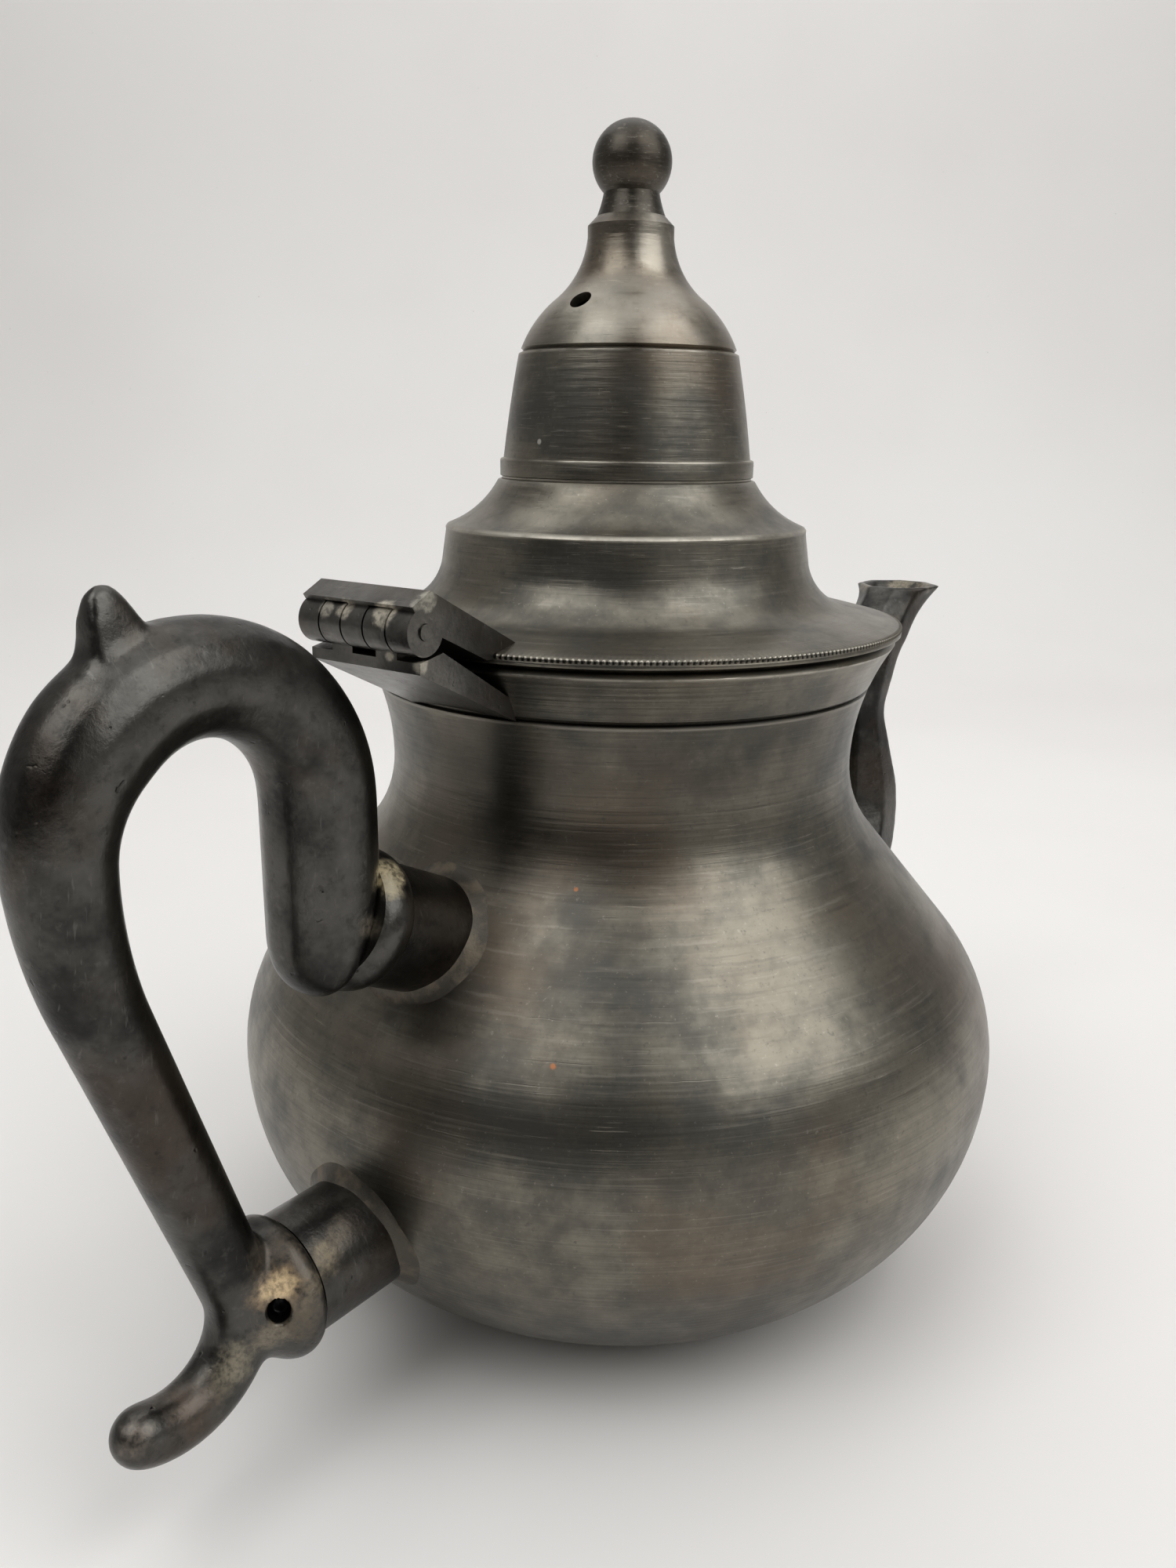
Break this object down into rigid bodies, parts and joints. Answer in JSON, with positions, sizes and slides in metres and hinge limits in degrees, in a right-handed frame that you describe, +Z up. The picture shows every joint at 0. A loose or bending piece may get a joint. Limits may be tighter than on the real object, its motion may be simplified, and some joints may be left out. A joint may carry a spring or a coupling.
{
  "type": "hinged-lid coffee and tea pot",
  "caption": "Round-bellied pewter pot with a gooseneck spout, scroll handle on sockets and a tall bell-shaped hinged lid with a ball finial, for brewing and pouring coffee or tea.",
  "frame": {"origin": "centre of the flat foot, on the surface that the pot stands on, on the turning axis", "axes": "+Z up along the turning axis, +X towards the spout, handle and hinge on -X"},
  "size_m": [0.2268, 0.13, 0.1864],
  "materials": {
    "turned_pewter": "dark satin pewter with fine turned lines",
    "cast_pewter": "dark worn cast pewter",
    "solder": "dull bronze-grey solder",
    "fixings": "plain steel"
  },
  "bodies": {
    "pot": {"upper_body": "turned_pewter", "lower_bowl": "turned_pewter", "spout_strainer": "turned_pewter", "spout": "cast_pewter", "upper_socket": "cast_pewter", "lower_socket": "cast_pewter", "upper_solder": "solder", "lower_solder": "solder", "upper_collar": "cast_pewter", "lower_collar": "cast_pewter", "handle": "cast_pewter", "body_hinge_leaf": "cast_pewter", "hinge_pin": "fixings"},
    "lid": {"lid_skirt": "turned_pewter", "lid_bell": "turned_pewter", "lid_bezel": "turned_pewter", "finial": "turned_pewter", "finial_washer": "fixings", "finial_nut": "fixings", "lid_hinge_leaf": "cast_pewter"}
  },
  "joints": [
    {"name": "lid_hinge", "type": "hinge", "parent": "pot", "child": "lid", "pos_m": [-0.057, 0, 0.11578], "axis": [0, -1, 0], "range_deg": [0, 110]}
  ]
}
